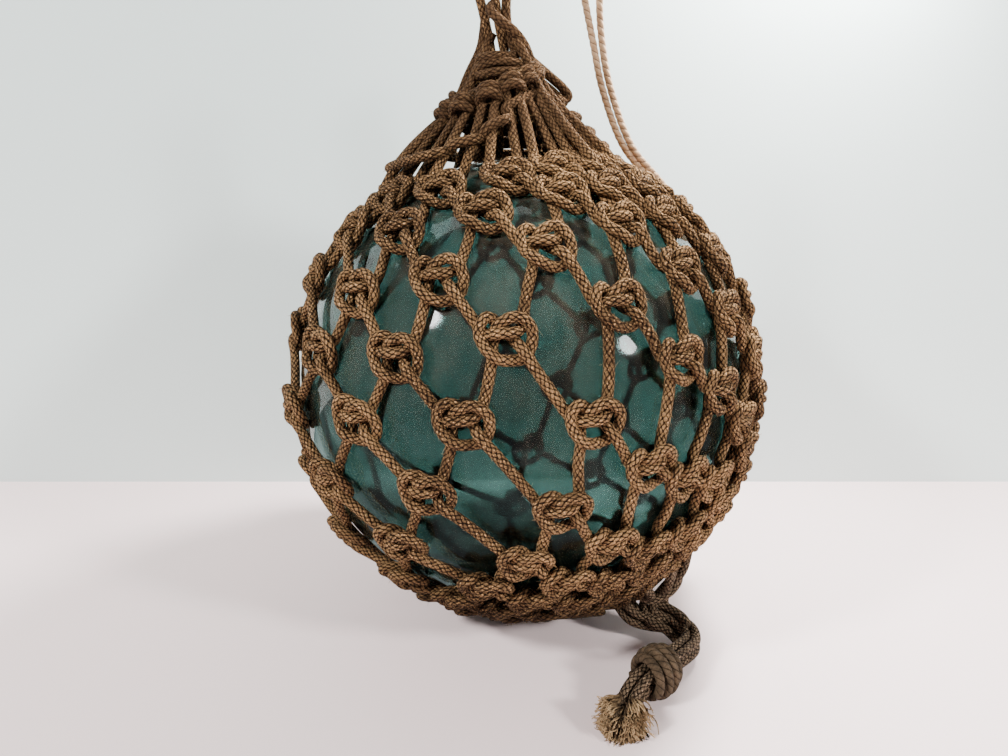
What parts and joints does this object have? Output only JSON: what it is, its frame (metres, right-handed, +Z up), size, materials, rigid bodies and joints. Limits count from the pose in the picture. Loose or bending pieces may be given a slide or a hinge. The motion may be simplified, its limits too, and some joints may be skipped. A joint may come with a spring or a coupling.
{
  "type": "glass float ball in rope net",
  "caption": "Sealed round glass float in a knotted rope net, gathered on a drawstring with a hanging loop at the top, with a lashed, frayed rope tail low at one side.",
  "frame": {"origin": "on the floor, at the middle of the footprint of the float, the net and the drawstring", "axes": "+Z up, -Y to the front, +X to the front's right, where the tail lies"},
  "size_m": [0.3152, 0.3068, 0.4298],
  "materials": {
    "glass": "clear teal blown glass, bubbled and dusty",
    "rope": "weathered brown braid",
    "tail_rope": "weathered grey-brown rope, blond where it is frayed",
    "lashing": "grey-brown twisted strand",
    "jute": "dry twisted jute"
  },
  "bodies": {
    "root": {"glass_float": "glass", "rope_net": "rope", "drawstring": "rope", "hanging_loop": "rope", "tail_rope_1": "tail_rope", "tail_rope_2": "tail_rope", "tail_rope_3": "tail_rope", "tail_rope_4": "tail_rope", "tail_lashing": "lashing", "jute_cord": "jute"}
  },
  "joints": []
}
